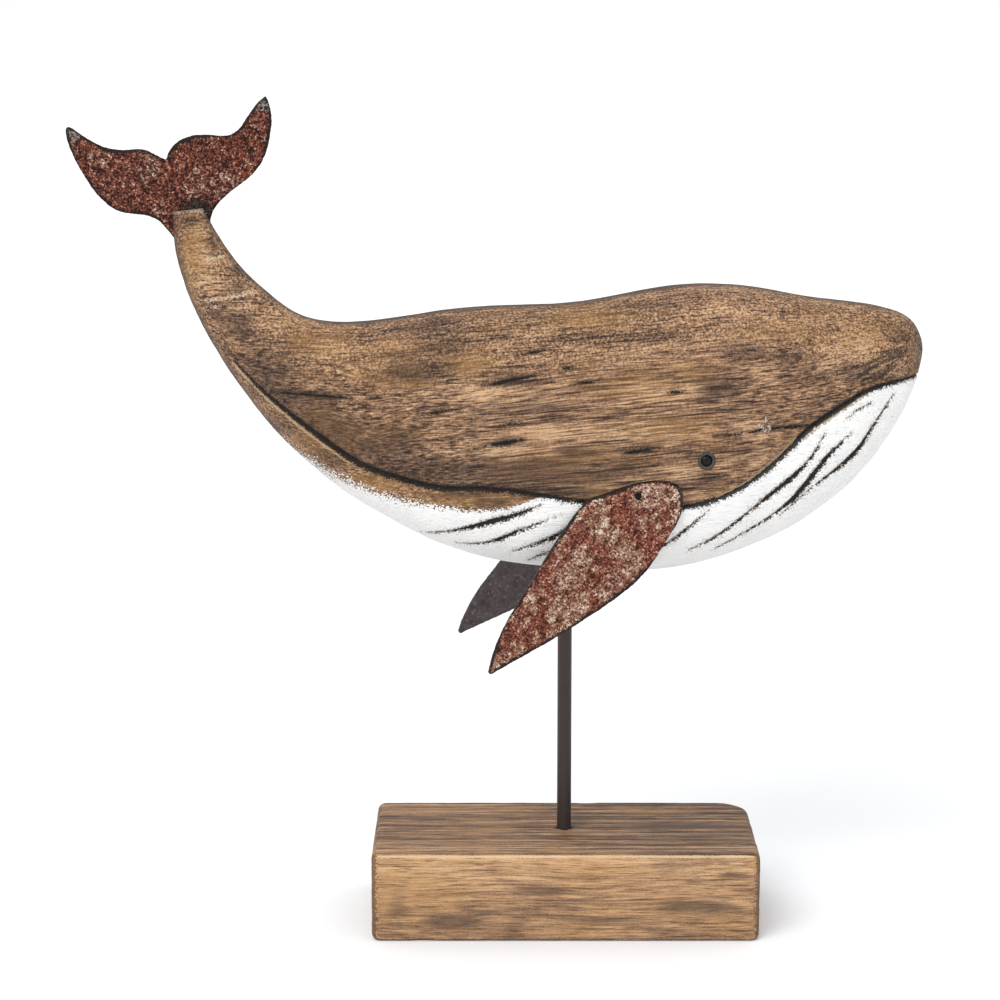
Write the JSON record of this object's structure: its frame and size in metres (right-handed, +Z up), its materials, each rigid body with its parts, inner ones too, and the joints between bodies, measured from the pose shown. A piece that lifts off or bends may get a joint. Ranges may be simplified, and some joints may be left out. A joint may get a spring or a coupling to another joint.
{
  "type": "whale figurine",
  "caption": "Carved wooden whale with a brown back, white pleated belly and rusty sheet fins and fluke, held by a dark steel rod over a wooden block.",
  "frame": {"origin": "centre of the block's underside, on the floor, below the rod's axis", "axes": "+Z up along the rod, +X along the block's length towards the side that the whale faces, +Y away from the side that the picture shows; the whale is turned 10 degrees about +Z"},
  "size_m": [0.292, 0.0783, 0.2891],
  "materials": {
    "base_wood": "stained, rubbed back at the edges, matt",
    "rod_steel": "satin dark brown",
    "body_wood": "stained brown above, worn white paint below, matt",
    "rusty_sheet": "rust and pale speckle outside, dark paint inside",
    "nail_steel": "blackened",
    "eye_ring": "dark grey",
    "eye_black": "gloss black"
  },
  "bodies": {
    "root": {"base_block": "base_wood", "stand_rod": "rod_steel", "whale_body": "body_wood", "right_flipper": "rusty_sheet", "left_flipper": "rusty_sheet", "tail_fluke": "rusty_sheet", "right_flipper_nails": "nail_steel", "left_flipper_nails": "nail_steel", "right_eye_ring": "eye_ring", "left_eye_ring": "eye_ring", "right_eye_tack": "eye_black", "left_eye_tack": "eye_black"}
  },
  "joints": []
}
